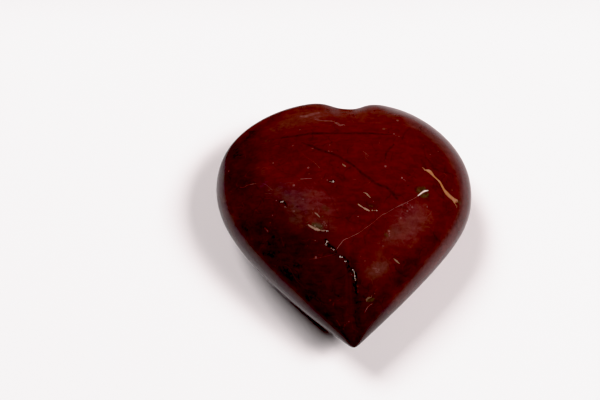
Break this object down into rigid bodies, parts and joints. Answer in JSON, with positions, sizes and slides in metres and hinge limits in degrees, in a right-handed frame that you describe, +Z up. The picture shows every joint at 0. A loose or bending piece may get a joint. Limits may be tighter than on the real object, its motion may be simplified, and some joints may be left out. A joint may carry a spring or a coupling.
{
  "type": "polished stone puffy heart",
  "caption": "Hand-ground, polished heart of red jasper, domed on both faces, that lies on its belly as a palm stone or paperweight.",
  "frame": {"origin": "on the surface that the stone rests on, under the middle of its outline", "axes": "+Z up, out of the upper face; +Y from the tip to the cleft; +X to the right of someone who looks down with the tip towards them"},
  "size_m": [0.0778, 0.077, 0.0328],
  "materials": {
    "red_jasper": "deep brick red to near-black jasper with fine veins and quartz flecks, hand polished to a gloss"
  },
  "bodies": {
    "root": {"jasper_heart": "red_jasper"}
  },
  "joints": []
}
